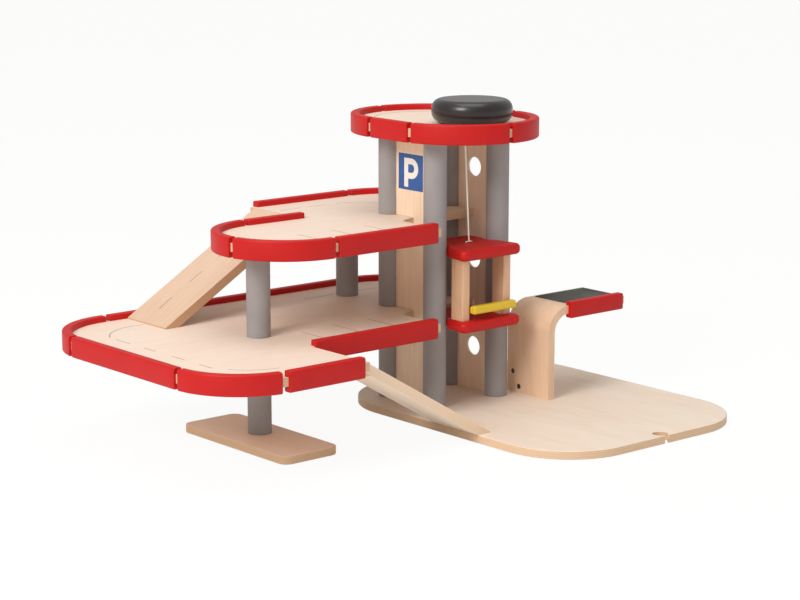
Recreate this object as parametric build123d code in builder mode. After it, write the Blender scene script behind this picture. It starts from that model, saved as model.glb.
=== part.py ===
"""Wooden toy parking garage with a lift.

Frame: millimetres, +Z up. The origin is on the table, on the axis of tower column A.
+X runs along the tower walls towards the open side of the base, and +Y runs from the
rounded end of the decks towards the bridge. Base and foot plate stand on Z = 0.
"""

from build123d import *
from math import asin, cos, degrees, radians, sin, sqrt
import os

os.makedirs("parts", exist_ok=True)

# ------------------------------------------------------------ driving dimensions
board_t = 10.0  # every board and deck
level_h = 115.0  # one deck top to the next
z_base = board_t
z1 = z_base + level_h  # top of the lower deck
z2 = z1 + level_h  # top of the middle deck
z3 = z2 + level_h  # top of the top deck

# columns
col_d = 28.0
spigot_d = 14.0  # turned end of a column, seated in a board
spigot_l = 4.9
spigot_fit = 0.05  # radial gap about a spigot
tower_x = 84.0  # column A to column B
tower_y = 102.0  # column A to column C
foot_at = (42.0, -234.0)
outer_at = (-84.0, 0.0)

# rails
rail_t = 11.0
rail_h = 24.0
rail_r = 2.0  # rounding of the long edges
rail_end_r = 1.2  # rounding of the ends
groove = 8.0  # how far a board edge goes into a rail
rail_gap = 5.5  # between two lengths of rail
front_gap = 8.0  # the wider gap in front of the lower ramp
edge_in = rail_t - groove  # rail face to board edge
corner_r = 90.0  # rail corners, to the outer face

# ramps
ramp_t = 11.0
ramp_w = 80.0
ramp_run = 194.0
ramp_gap = 0.3  # between a ramp and the deck edge
ramp_nose = 1.6  # thickness left at the lower end
ramp1_y = -104.0  # joint of the upper ramp on the middle deck
ramp2_y = -221.0  # joint of the lower ramp on the lower deck
ramp1_in, ramp1_out = 12.0, 1.0  # upper ramp to the rails beside it
ramp2_in, ramp2_out = 6.0, 4.0  # lower ramp to the rails beside it
batten_t = 9.0
batten_w = 48.0
batten_fit = 0.1

# outer faces of the rails about the decks; the lanes take their width from the ramps
lane_x = 130.0  # inner rail of the lower deck, front rail of the middle deck
d2_x0 = -46.0  # middle deck's rail beside the upper ramp
deck_x0 = d2_x0 - ramp1_in - ramp_w - ramp1_out - rail_t
d1_x1 = lane_x + ramp2_in + ramp_w + ramp2_out + rail_t
deck_y1 = 140.0
d1_y0 = -420.0
d2_y = -192.0  # middle of the rounded end
d2_r = (lane_x - d2_x0) / 2
d2_cx = (lane_x + d2_x0) / 2
d3_r = 95.0
d3_half = 30.0  # half of the straight part of the top deck
shaft_x = 42.0  # deck edge at the lift shaft
shaft_y = -28.0  # deck edge in front of column B
notch_r = 38.0  # round notch in the decks about column B
back_r = 15.0

# where the rails end, measured from the corners of the boards
rail_stop = 6.0  # at column B
front_stop = 8.0  # lower front rail, at the lower ramp
inner_stop = 3.0  # lower inner rail, at the lower ramp
ramp_stop = 1.0  # middle inner rail, at the upper ramp
back_stop = 6.0  # middle back rail, at the upper ramp
right_stop = 2.0  # right rails, at the rounded corner of the tower
corner_tail = 8.0  # straight part of the lower left corner rail
end_tail = 6.0  # straight part of the middle deck's end rail
front_joint = 3.5  # the lower front rail starts this far into its corner
left_bend = 9.0  # stretch of the lower left rail that follows its corner
top_start = 2.6  # the top front rail starts this far along the straight part
top_bend = 11.8  # and goes this far round the next corner
top_turn = 3.4  # the top right corner rail ends this far before its quarter turn
high_split = 276.0  # angle where the rails of the middle deck's rounded end meet

# tower walls
wall_t = 3.0
wall_in = 3.0  # how far a wall goes into a column
wall_fit = 0.05
slot_end = 3.0  # slots for the decks reach this far past the decks
slot_x = shaft_x + slot_end
slot_fit = 0.3
window_d = 24.0
window_x = 43.0
window_z = (66.0, 178.0, 293.0)

# base and foot
base_x0, base_x1 = -62.0, 358.0
base_y0, base_y1 = -48.0, 280.0
base_r = 90.0
edge_r = 1.2
link_x, link_y = 347.0, 120.0
link_d = 18.0
link_neck = 6.5
foot_x0, foot_x1 = -52.0, 148.0
foot_y0, foot_y1 = -279.0, -199.0
foot_r = 12.0

# bridge
bridge_x0, bridge_x1 = 74.0, 148.0
bridge_y0, bridge_y1 = 131.0, 262.0
bridge_r = 32.0  # outer bend radius
bridge_rail_h = 20.5
bridge_groove = 5.0  # how far the platform goes into its rail
bridge_rail_y0, bridge_rail_y1 = 164.0, 255.0
mat_x0, mat_x1 = 80.0, 136.0
mat_y0, mat_y1 = 172.0, 257.0
mat_t = 1.4
block_x0, block_x1 = 77.0, 103.0
block_l = 18.0
block_h = 40.0
screw_at = ((84.0, 36.0), (95.0, 18.0))
screw_d = 6.6
screw_h = 2.4
screw_shank = 3.4
screw_l = 22.0
screw_sink = 0.5
screw_fit = 0.2  # about a screw head
screw_end = 0.3  # room past a screw's point
cross_l, cross_w, cross_h = 4.0, 0.9, 1.2  # cross slot in a screw head

# lift
lift_z = 121.5  # top of the lift floor at rest
plate_t = 13.5
plate_x0 = shaft_x + 1.5
plate_x1 = 133.5
plate_back = 41.0  # half width behind columns B and D
plate_front = 49.0  # half width at the front
plate_back_r = 12.0
plate_r = 8.0  # front corners
cusp_r = 5.0
plate_edge = 5.5
plate_gap = 0.8  # between the plates and columns B and D
post_t = 11.5
post_w = 21.0
post_x1 = 121.5
post_out = 39.2  # middle of the lift to a post's outer face
post_r = 1.2
post_in = 5.0  # tongue of a post in each plate
tongue_side, tongue_face = 3.0, 2.5  # shoulders about a tongue
tongue_fit = 0.1  # under a tongue
cabin_h = 74.2
arm_d = 10.0
arm_r = 3.0
arm_end_r = 2.0
arm_y0 = 22.5
arm_over = 6.5  # arm end past its pin
arm_gap = 0.5  # arm to post
arm_z = 13.0  # pin above the lift floor
pin_d = 4.0
pin_fit = 0.05
pin_end = 0.3  # room past the pin's end
pin_in_post = 9.0
pin_in_arm = 7.0

# winch
knob_d = 98.0
knob_h = 27.5
knob_gap = 2.5  # under the knob
knob_r = 11.0
knob_x = 92.5
spindle_d = 10.0
spindle_fit = 0.05
spindle_in = 9.8  # spindle in the knob
spindle_end = 0.2  # room past the spindle's end
hub_r = 12.0
hub_gap = 0.4  # under the hub and over the washer
washer_d = 20.0
washer_h = 3.0
recess_r = 19.0
recess_h = 10.0
cord_d = 2.0
cord_fit = 0.2
cord_turns = 3
coil_r = 0.6
coil_gap = 1.2  # under the wound turns
cord_gap = 0.3  # between the standing cord and the wound turns
cord_hole_d = 5.0
cord_x = knob_x - hub_r - cord_d / 2
cord_end_x = 88.5
cord_y = tower_y / 2
knot_l = 13.0
knot_d = 2.4
knot_r = 0.9  # rounding of the knot's ends


def save(part, name):
    part.label = name
    export_step(part, "parts/" + name + ".step")


# ------------------------------------------------------------ board outlines
e = edge_in
lift_side_y = -wall_t / 2 - slot_fit
notch_x = tower_x - sqrt(notch_r**2 - lift_side_y**2)
notch_start = (tower_x - sqrt(notch_r**2 - shaft_y**2), shaft_y)
notch_angle = (asin(-shaft_y / notch_r) + asin(-lift_side_y / notch_r)) / 2
notch_mid = (
    tower_x - notch_r * cos(notch_angle),
    -notch_r * sin(notch_angle),
)

with BuildSketch() as lower_outline:
    with BuildLine():
        Polyline(
            (deck_x0 + e, deck_y1 - e),
            (deck_x0 + e, d1_y0 + e),
            (d1_x1 - e, d1_y0 + e),
            (d1_x1 - e, ramp2_y),
            (lane_x - e, ramp2_y),
            (lane_x - e, shaft_y),
            notch_start,
        )
        ThreePointArc(notch_start, notch_mid, (notch_x, lift_side_y))
        Polyline(
            (notch_x, lift_side_y),
            (shaft_x, lift_side_y),
            (shaft_x, deck_y1 - e),
            (deck_x0 + e, deck_y1 - e),
        )
    make_face()
    for corner in (
        (deck_x0 + e, deck_y1 - e),
        (deck_x0 + e, d1_y0 + e),
        (d1_x1 - e, d1_y0 + e),
    ):
        fillet(lower_outline.vertices().sort_by_distance(corner)[0], corner_r - e)
    fillet(lower_outline.vertices().sort_by_distance((shaft_x, deck_y1))[0], back_r)

with BuildSketch() as middle_outline:
    with BuildLine():
        Polyline(
            (deck_x0 + e, deck_y1 - e),
            (deck_x0 + e, ramp1_y),
            (d2_x0 + e, ramp1_y),
            (d2_x0 + e, d2_y),
        )
        ThreePointArc(
            (d2_x0 + e, d2_y), (d2_cx, d2_y - d2_r + e), (lane_x - e, d2_y)
        )
        Polyline((lane_x - e, d2_y), (lane_x - e, shaft_y), notch_start)
        ThreePointArc(notch_start, notch_mid, (notch_x, lift_side_y))
        Polyline(
            (notch_x, lift_side_y),
            (shaft_x, lift_side_y),
            (shaft_x, deck_y1 - e),
            (deck_x0 + e, deck_y1 - e),
        )
    make_face()
    fillet(
        middle_outline.vertices().sort_by_distance((deck_x0 + e, deck_y1 - e))[0],
        corner_r - e,
    )
    fillet(middle_outline.vertices().sort_by_distance((shaft_x, deck_y1))[0], back_r)

with BuildSketch() as top_outline:
    with Locations((tower_x / 2, tower_y / 2)):
        SlotCenterToCenter(2 * d3_half, 2 * (d3_r - e))

# ------------------------------------------------------------ columns
tower = {
    "a": (0.0, 0.0),
    "b": (tower_x, 0.0),
    "c": (0.0, tower_y),
    "d": (tower_x, tower_y),
}
# name, axis, bottom, top, side of the wall groove
columns = [
    ("foot_column_lower", foot_at, z_base, z1 - board_t, 0),
    ("foot_column_upper", foot_at, z1, z2 - board_t, 0),
    ("outer_column", outer_at, z1, z2 - board_t, 0),
]
for key in ("a", "c"):
    columns += [
        ("column_" + key + "_lower", tower[key], z_base, z1 - board_t, 1),
        ("column_" + key + "_middle", tower[key], z1, z2 - board_t, 1),
        ("column_" + key + "_upper", tower[key], z2, z3 - board_t, 1),
    ]
for key in ("b", "d"):
    columns.append(("column_" + key, tower[key], z_base, z3 - board_t, -1))

for name, axis, za, zb, side in columns:
    with BuildPart() as column:
        with BuildSketch(Plane.XY.offset(za)):
            with Locations(axis):
                Circle(col_d / 2)
        extrude(amount=zb - za)
        with BuildSketch(Plane.XY.offset(za - spigot_l)):
            with Locations(axis):
                Circle(spigot_d / 2)
        extrude(amount=zb - za + 2 * spigot_l)
        if side:
            groove_x = axis[0] + side * (col_d / 2 - wall_in - wall_fit)
            with BuildSketch(Plane.XY.offset(za - 0.01)):
                with Locations((groove_x + side * wall_in, axis[1])):
                    Rectangle(2 * wall_in, wall_t + 2 * wall_fit)
            extrude(amount=zb - za + 0.02, mode=Mode.SUBTRACT)
    save(column.part, name)

hole_d = spigot_d + 2 * spigot_fit
half_t = board_t / 2

# ------------------------------------------------------------ base and foot plate
with BuildPart() as base_plate:
    with BuildSketch():
        with Locations(((base_x0 + base_x1) / 2, (base_y0 + base_y1) / 2)):
            RectangleRounded(base_x1 - base_x0, base_y1 - base_y0, base_r)
        with Locations((link_x, link_y)):
            Circle(link_d / 2, mode=Mode.SUBTRACT)
        with Locations(((link_x + base_x1 + 4) / 2, link_y)):
            Rectangle(base_x1 + 4 - link_x, link_neck, mode=Mode.SUBTRACT)
    extrude(amount=board_t)
    fillet(base_plate.faces().sort_by(Axis.Z)[-1].outer_wire().edges(), edge_r)
    fillet(base_plate.faces().sort_by(Axis.Z)[0].outer_wire().edges(), edge_r)
    with BuildSketch(Plane.XY.offset(z_base)):
        with Locations(*tower.values()):
            Circle(hole_d / 2)
    extrude(amount=-half_t, mode=Mode.SUBTRACT)
save(base_plate.part, "base_plate")

with BuildPart() as foot_plate:
    with BuildSketch():
        with Locations(((foot_x0 + foot_x1) / 2, (foot_y0 + foot_y1) / 2)):
            RectangleRounded(foot_x1 - foot_x0, foot_y1 - foot_y0, foot_r)
    extrude(amount=board_t)
    fillet(foot_plate.faces().sort_by(Axis.Z)[-1].edges(), edge_r)
    fillet(foot_plate.faces().sort_by(Axis.Z)[0].edges(), edge_r)
    with BuildSketch(Plane.XY.offset(z_base)):
        with Locations(foot_at):
            Circle(hole_d / 2)
    extrude(amount=-half_t, mode=Mode.SUBTRACT)
save(foot_plate.part, "foot_plate")

# ------------------------------------------------------------ decks
with BuildPart() as lower_deck:
    with BuildSketch(Plane.XY.offset(z1 - board_t)):
        add(lower_outline.sketch)
        with Locations(tower["a"], tower["c"], foot_at):
            Circle(hole_d / 2, mode=Mode.SUBTRACT)
    extrude(amount=board_t)
    with BuildSketch(Plane.XY.offset(z1)):
        with Locations(outer_at):
            Circle(hole_d / 2)
    extrude(amount=-half_t, mode=Mode.SUBTRACT)
save(lower_deck.part, "lower_deck")

with BuildPart() as middle_deck:
    with BuildSketch(Plane.XY.offset(z2 - board_t)):
        add(middle_outline.sketch)
        with Locations(tower["a"], tower["c"]):
            Circle(hole_d / 2, mode=Mode.SUBTRACT)
    extrude(amount=board_t)
    with BuildSketch(Plane.XY.offset(z2 - board_t)):
        with Locations(outer_at, foot_at):
            Circle(hole_d / 2)
    extrude(amount=half_t, mode=Mode.SUBTRACT)
save(middle_deck.part, "middle_deck")

with BuildPart() as top_deck:
    with BuildSketch(Plane.XY.offset(z3 - board_t)):
        add(top_outline.sketch)
        with Locations((knob_x, cord_y)):
            Circle(spindle_d / 2 + spindle_fit, mode=Mode.SUBTRACT)
        with Locations((cord_x, cord_y)):
            Circle(cord_hole_d / 2, mode=Mode.SUBTRACT)
    extrude(amount=board_t)
    with BuildSketch(Plane.XY.offset(z3 - board_t)):
        with Locations(*tower.values()):
            Circle(hole_d / 2)
    extrude(amount=half_t, mode=Mode.SUBTRACT)
save(top_deck.part, "top_deck")

# ------------------------------------------------------------ rails
# Each rail follows the middle line of its section: straight runs ("line", from, to)
# and corners ("arc", middle, start angle, sweep angle).
m = rail_t / 2
g = rail_gap / 2
rc = corner_r - m
lx, ly = deck_x0 + corner_r, d1_y0 + corner_r
rx = d1_x1 - corner_r
by = deck_y1 - corner_r
ux = d2_x0 + m
r2 = d2_r - m
r3 = d3_r - m
x3a, x3b = tower_x / 2 - d3_half, tower_x / 2 + d3_half
y3 = tower_y / 2
low_left_y = ly + corner_tail
split_y = d2_y + end_tail


def angle(length, radius):
    """Turn in degrees for a length across the start of an arc."""
    return degrees(asin(length / radius))


turn = angle(g, rc)
bend = angle(left_bend, rc)
t2 = angle(g, r2)
t3 = angle(g, r3)
front_turn = angle(front_joint + front_gap, rc)
top_on = angle(top_bend, r3)
top_off = angle(top_turn, r3)

rails = [
    ("lower_rail_corner_left", z1, lower_outline, [
        ("line", (deck_x0 + m, low_left_y - g), (deck_x0 + m, ly)),
        ("arc", (lx, ly), rc, 180.0, 90.0 - bend - turn)]),
    ("lower_rail_left", z1, lower_outline, [
        ("arc", (lx, ly), rc, 270.0 - bend + turn, bend - turn),
        ("line", (lx, d1_y0 + m), (rx - g, d1_y0 + m))]),
    ("lower_rail_corner_front", z1, lower_outline, [
        ("arc", (rx, ly), rc, 270.0 + turn, 90.0 - turn - front_turn)]),
    ("lower_rail_front", z1, lower_outline, [
        ("line", (d1_x1 - m, ly - front_joint), (d1_x1 - m, ramp2_y - front_stop))]),
    ("lower_rail_inner", z1, lower_outline, [
        ("line", (lane_x - m, ramp2_y + inner_stop), (lane_x - m, shaft_y - rail_stop))]),
    ("lower_rail_back", z1, lower_outline, [
        ("line", (deck_x0 + m, low_left_y + g), (deck_x0 + m, by - g))]),
    ("lower_rail_corner_back", z1, lower_outline, [
        ("arc", (lx, by), rc, 90.0 + turn, 90.0 - 2 * turn)]),
    ("lower_rail_right", z1, lower_outline, [
        ("line", (lx + g, deck_y1 - m), (shaft_x - back_r - right_stop, deck_y1 - m))]),
    ("middle_rail_end_back", z2, middle_outline, [
        ("arc", (d2_cx, d2_y), r2, 180.0 + t2, high_split - 180.0 - 2 * t2)]),
    ("middle_rail_end_front", z2, middle_outline, [
        ("arc", (d2_cx, d2_y), r2, high_split + t2, 360.0 - high_split - t2),
        ("line", (lane_x - m, d2_y), (lane_x - m, split_y - g))]),
    ("middle_rail_front", z2, middle_outline, [
        ("line", (lane_x - m, split_y + g), (lane_x - m, shaft_y - rail_stop))]),
    ("middle_rail_inner", z2, middle_outline, [
        ("line", (ux, d2_y + g), (ux, ramp1_y - ramp_stop))]),
    ("middle_rail_back", z2, middle_outline, [
        ("line", (deck_x0 + m, ramp1_y + back_stop), (deck_x0 + m, by - g))]),
    ("middle_rail_corner_back", z2, middle_outline, [
        ("arc", (lx, by), rc, 90.0 + turn, 90.0 - 2 * turn)]),
    ("middle_rail_right", z2, middle_outline, [
        ("line", (lx + g, deck_y1 - m), (shaft_x - back_r - right_stop, deck_y1 - m))]),
    ("top_rail_left_front", z3, top_outline, [
        ("arc", (x3a, y3), r3, 180.0 + t3, 90.0 - 2 * t3)]),
    ("top_rail_front", z3, top_outline, [
        ("line", (x3a + top_start, y3 - r3), (x3b, y3 - r3)),
        ("arc", (x3b, y3), r3, 270.0, top_on - t3)]),
    ("top_rail_right_front", z3, top_outline, [
        ("arc", (x3b, y3), r3, 270.0 + top_on + t3, 90.0 - top_on - top_off - 2 * t3)]),
    ("top_rail_right_back", z3, top_outline, [
        ("arc", (x3b, y3), r3, t3 - top_off, 90.0 + top_off - 2 * t3)]),
    ("top_rail_back", z3, top_outline, [
        ("line", (x3b - g, y3 + r3), (x3a + g, y3 + r3))]),
    ("top_rail_left_back", z3, top_outline, [
        ("arc", (x3a, y3), r3, 90.0 + t3, 90.0 - 2 * t3)]),
]

for name, z_top, outline, path in rails:
    with BuildPart() as rail:
        with BuildLine(Plane.XY.offset(z_top - half_t)) as route:
            for run in path:
                if run[0] == "line":
                    Line(run[1], run[2])
                else:
                    CenterArc(run[1], run[2], run[3], run[4])
        way = route.wires()[0]
        t = way % 0
        with BuildSketch(Plane(way @ 0, x_dir=(t.Y, -t.X, 0), z_dir=t)):
            RectangleRounded(rail_t, rail_h, rail_r)
        sweep(path=way)
        ends = [f for f in rail.faces() if f.area > 0.9 * rail_t * rail_h
                and f.geom_type == GeomType.PLANE and abs(f.normal_at().Z) < 0.1
                and f.area < 1.02 * rail_t * rail_h]
        fillet([edge for f in ends for edge in f.edges()], rail_end_r)
        with BuildSketch(Plane.XY.offset(z_top - board_t)):
            add(outline.sketch)
        extrude(amount=board_t, mode=Mode.SUBTRACT)
    save(rail.part, name)

# ------------------------------------------------------------ tower walls
wall_x0 = col_d / 2 - wall_in
wall_x1 = tower_x - col_d / 2 + wall_in
wall_h = z3 - board_t - z_base
for name, y, holes in (
    ("sign_wall", 0.0, ()),
    ("window_wall", tower_y, window_z),
):
    with BuildPart() as wall:
        with BuildSketch(Plane.XZ.offset(-y)):
            with Locations(((wall_x0 + wall_x1) / 2, z_base + wall_h / 2)):
                Rectangle(wall_x1 - wall_x0, wall_h)
            for z in (z1, z2):
                with Locations(((wall_x0 + slot_x) / 2 - 1, z - half_t)):
                    Rectangle(
                        slot_x - wall_x0 + 2,
                        board_t + 2 * slot_fit,
                        mode=Mode.SUBTRACT,
                    )
            for z in holes:
                with Locations((window_x, z)):
                    Circle(window_d / 2, mode=Mode.SUBTRACT)
        extrude(amount=wall_t / 2, both=True)
    save(wall.part, name)

# ------------------------------------------------------------ ramps and battens
slope = level_h / ramp_run
under = ramp_t * sqrt(1 + slope**2)  # vertical thickness of a ramp
ramp1_x = d2_x0 - ramp1_in - ramp_w / 2
ramp2_x = lane_x + ramp2_in + ramp_w / 2
for name, way, x, y0, zt in (
    ("upper", -1, ramp1_x, ramp1_y, z2),
    ("lower", 1, ramp2_x, ramp2_y, z1),
):
    z_low = zt - level_h
    y_end = y0 + way * ramp_run
    foot_y = y0 + way * (level_h - under) / slope
    with BuildPart() as ramp:
        with BuildSketch(Plane.YZ.offset(x - ramp_w / 2)):
            with BuildLine():
                Polyline(
                    (y0 + way * ramp_gap, zt - ramp_gap * slope),
                    (y_end - way * ramp_nose / slope, z_low + ramp_nose),
                    (y_end - way * ramp_nose / slope, z_low),
                    (foot_y, z_low),
                    (y0 + way * ramp_gap, zt - under - ramp_gap * slope),
                    close=True,
                )
            make_face()
        extrude(amount=ramp_w)
    save(ramp.part, name + "_ramp")

    zb = zt - board_t
    wedge = (zb - batten_t - (zt - under)) / -slope
    with BuildPart() as batten:
        with BuildSketch(Plane.YZ.offset(x - ramp_w / 2)):
            with BuildLine():
                Polyline(
                    (y0, zb),
                    (y0 - way * batten_w, zb),
                    (y0 - way * batten_w, zb - batten_t),
                    (y0 + way * (wedge - batten_fit), zb - batten_t),
                    (y0, zt - under - batten_fit),
                    close=True,
                )
            make_face()
        extrude(amount=ramp_w)
    save(batten.part, name + "_batten")

# ------------------------------------------------------------ bridge
leg_in = bridge_r - board_t
with BuildPart() as bridge_board:
    with BuildSketch(Plane.YZ.offset(bridge_x0)):
        with BuildLine():
            Line((bridge_y0, z_base), (bridge_y0, z1 - bridge_r))
            RadiusArc(
                (bridge_y0, z1 - bridge_r), (bridge_y0 + bridge_r, z1), bridge_r
            )
            Polyline(
                (bridge_y0 + bridge_r, z1),
                (bridge_y1, z1),
                (bridge_y1, z1 - board_t),
                (bridge_y0 + bridge_r, z1 - board_t),
            )
            RadiusArc(
                (bridge_y0 + bridge_r, z1 - board_t),
                (bridge_y0 + board_t, z1 - bridge_r),
                -leg_in,
            )
            Polyline(
                (bridge_y0 + board_t, z1 - bridge_r),
                (bridge_y0 + board_t, z_base),
                (bridge_y0, z_base),
            )
        make_face()
    extrude(amount=bridge_x1 - bridge_x0)
    with BuildSketch(Plane.XZ.offset(-bridge_y0)):
        with Locations(*screw_at):
            Circle(screw_d / 2 + screw_fit)
    extrude(amount=-(screw_h + screw_sink), mode=Mode.SUBTRACT)
    with BuildSketch(Plane.XZ.offset(-bridge_y0)):
        with Locations(*screw_at):
            Circle(screw_shank / 2)
    extrude(amount=-board_t, mode=Mode.SUBTRACT)
save(bridge_board.part, "bridge_board")

with BuildPart() as bridge_rail:
    bx = bridge_x1 - bridge_groove + rail_t / 2
    with BuildSketch(Plane.XZ.offset(-bridge_rail_y0)):
        with Locations((bx, z1 - half_t)):
            RectangleRounded(rail_t, bridge_rail_h, rail_r)
    extrude(amount=-(bridge_rail_y1 - bridge_rail_y0))
    fillet(bridge_rail.faces().sort_by(Axis.Y)[0].edges(), rail_end_r)
    fillet(bridge_rail.faces().sort_by(Axis.Y)[-1].edges(), rail_end_r)
    with BuildSketch(Plane.XY.offset(z1 - board_t)):
        with Locations(((bridge_x0 + bridge_x1) / 2, bridge_y1)):
            Rectangle(bridge_x1 - bridge_x0, 2 * (bridge_y1 - bridge_y0))
    extrude(amount=board_t, mode=Mode.SUBTRACT)
save(bridge_rail.part, "bridge_rail")

with BuildPart() as bridge_mat:
    with BuildSketch(Plane.XY.offset(z1)):
        with Locations(((mat_x0 + mat_x1) / 2, (mat_y0 + mat_y1) / 2)):
            Rectangle(mat_x1 - mat_x0, mat_y1 - mat_y0)
    extrude(amount=mat_t)
save(bridge_mat.part, "bridge_mat")

block_y = bridge_y0 + board_t
with BuildPart() as bridge_block:
    with BuildSketch(Plane.XY.offset(z_base)):
        with Locations(((block_x0 + block_x1) / 2, block_y + block_l / 2)):
            Rectangle(block_x1 - block_x0, block_l)
    extrude(amount=block_h)
    with BuildSketch(Plane.XZ.offset(-block_y)):
        with Locations(*screw_at):
            Circle(screw_shank / 2)
    extrude(amount=-(screw_l - board_t + screw_sink + screw_end), mode=Mode.SUBTRACT)
save(bridge_block.part, "bridge_block")

with BuildPart() as bridge_screws:
    with BuildSketch(Plane.XZ.offset(-(bridge_y0 + screw_sink))):
        with Locations(*screw_at):
            Circle(screw_d / 2)
    extrude(amount=-screw_h)
    with BuildSketch(Plane.XZ.offset(-(bridge_y0 + screw_sink))):
        with Locations(*screw_at):
            Circle(screw_shank / 2)
    extrude(amount=-screw_l)
    with BuildSketch(Plane.XZ.offset(-(bridge_y0 + screw_sink))):
        with Locations(*screw_at):
            Rectangle(cross_l, cross_w)
            Rectangle(cross_w, cross_l)
    extrude(amount=-cross_h, mode=Mode.SUBTRACT)
save(bridge_screws.part, "bridge_screws")

# ------------------------------------------------------------ lift
roof_z = lift_z + cabin_h  # underside of the roof
post_y0 = cord_y - post_out
post_y1 = cord_y + post_out
pin_y = post_y1 - post_t / 2
pin_z = lift_z + arm_z
tongue = (post_w - 2 * tongue_side, post_t - 2 * tongue_face)
notch = col_d / 2 + plate_gap
flare = (plate_front - plate_back) / (plate_x1 - tower_x)
notch_back = sqrt(notch**2 - (cord_y - plate_back) ** 2)
# the flared side leaves the notch where side and circle cross
side_d = (cord_y - plate_back) / sqrt(1 + flare**2)
notch_front = (flare * side_d + sqrt(notch**2 - side_d**2)) / sqrt(1 + flare**2)

for name, z0 in (("lift_floor", lift_z - plate_t), ("lift_roof", roof_z)):
    with BuildPart() as plate:
        with BuildSketch(Plane.XY.offset(z0)) as shape:
            with BuildLine():
                Polyline(
                    (plate_x0, cord_y - plate_back),
                    (tower_x, cord_y - plate_back),
                    (plate_x1, cord_y - plate_front),
                    (plate_x1, cord_y + plate_front),
                    (tower_x, cord_y + plate_back),
                    (plate_x0, cord_y + plate_back),
                    close=True,
                )
            make_face()
            for x, y, r in (
                (plate_x0, plate_back, plate_back_r),
                (plate_x1, plate_front, plate_r),
            ):
                for way in (-1, 1):
                    corner = (x, cord_y + way * y, z0)
                    fillet(shape.vertices().sort_by_distance(corner)[0], r)
            with Locations(tower["b"], tower["d"]):
                Circle(notch, mode=Mode.SUBTRACT)
            for x in (tower_x - notch_back, tower_x + notch_front):
                for way in (-1, 1):
                    y = plate_back if x < tower_x else plate_back + notch_front * flare
                    corner = (x, cord_y + way * y, z0)
                    fillet(shape.vertices().sort_by_distance(corner)[0], cusp_r)
        extrude(amount=plate_t)
        fillet(plate.faces().sort_by(Axis.Z)[-1].edges(), plate_edge)
        fillet(plate.faces().sort_by(Axis.Z)[0].edges(), plate_edge)
        inner = lift_z if name == "lift_floor" else roof_z
        sign = -1 if name == "lift_floor" else 1
        with BuildSketch(Plane.XY.offset(inner)):
            with Locations(
                (post_x1 - post_w / 2, post_y0 + post_t / 2),
                (post_x1 - post_w / 2, post_y1 - post_t / 2),
            ):
                Rectangle(*tongue)
        extrude(amount=sign * (post_in + tongue_fit), mode=Mode.SUBTRACT)
        if name == "lift_roof":
            with BuildSketch(Plane.XY.offset(roof_z + plate_t)):
                with Locations((cord_end_x, cord_y)):
                    Circle(cord_d / 2 + cord_fit)
            extrude(amount=-plate_t, mode=Mode.SUBTRACT)
    save(plate.part, name)

for name, y in (
    ("lift_post_left", post_y0 + post_t / 2),
    ("lift_post_right", post_y1 - post_t / 2),
):
    with BuildPart() as post:
        with BuildSketch(Plane.XY.offset(lift_z)):
            with Locations((post_x1 - post_w / 2, y)):
                RectangleRounded(post_w, post_t, post_r)
        extrude(amount=cabin_h)
        with BuildSketch(Plane.XY.offset(lift_z - post_in)):
            with Locations((post_x1 - post_w / 2, y)):
                Rectangle(*tongue)
        extrude(amount=cabin_h + 2 * post_in)
        if name == "lift_post_right":
            with BuildSketch(Plane.YZ.offset(post_x1)):
                with Locations((pin_y, pin_z)):
                    Circle(pin_d / 2)
            extrude(amount=-pin_in_post, mode=Mode.SUBTRACT)
    save(post.part, name)

arm_x0 = post_x1 + arm_gap
arm_y1 = pin_y + arm_over
with BuildPart() as barrier_arm:
    with BuildSketch(Plane.XZ.offset(-arm_y0)):
        with Locations((arm_x0 + arm_d / 2, pin_z)):
            RectangleRounded(arm_d, arm_d, arm_r)
    extrude(amount=-(arm_y1 - arm_y0))
    fillet(barrier_arm.faces().sort_by(Axis.Y)[0].edges(), arm_end_r)
    fillet(barrier_arm.faces().sort_by(Axis.Y)[-1].edges(), arm_end_r)
    with BuildSketch(Plane.YZ.offset(arm_x0)):
        with Locations((pin_y, pin_z)):
            Circle(pin_d / 2 + pin_fit)
    extrude(amount=pin_in_arm + pin_end, mode=Mode.SUBTRACT)
save(barrier_arm.part, "barrier_arm")

with BuildPart() as barrier_pin:
    with BuildSketch(Plane.YZ.offset(post_x1 - pin_in_post)):
        with Locations((pin_y, pin_z)):
            Circle(pin_d / 2)
    extrude(amount=pin_in_post + arm_gap + pin_in_arm)
save(barrier_pin.part, "barrier_pin")

roof_top = roof_z + plate_t
with BuildPart() as cord_knot:
    with BuildSketch(Plane.XZ.offset(-cord_y)):
        with Locations((cord_end_x, roof_top + knot_d / 2)):
            Circle(knot_d / 2)
    extrude(amount=knot_l / 2, both=True)
    fillet(cord_knot.edges(), knot_r)
save(cord_knot.part, "cord_knot")

# ------------------------------------------------------------ winch
knob_z = z3 + knob_gap
with BuildPart() as winding_knob:
    with BuildSketch(Plane.XZ.offset(-cord_y)) as half_knob:
        with Locations((knob_x + knob_d / 4, knob_z + knob_h / 2)):
            Rectangle(knob_d / 2, knob_h)
        fillet(
            half_knob.vertices().group_by(Axis.X)[-1],
            knob_r,
        )
        with Locations((knob_x + recess_r / 2, knob_z + recess_h / 2)):
            Rectangle(recess_r, recess_h, mode=Mode.SUBTRACT)
    revolve(axis=Axis((knob_x, cord_y, 0), (0, 0, 1)))
    with BuildSketch(Plane.XY.offset(knob_z + recess_h)):
        with Locations((knob_x, cord_y)):
            Circle(spindle_d / 2)
    extrude(amount=spindle_in + spindle_end, mode=Mode.SUBTRACT)
save(winding_knob.part, "winding_knob")

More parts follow.
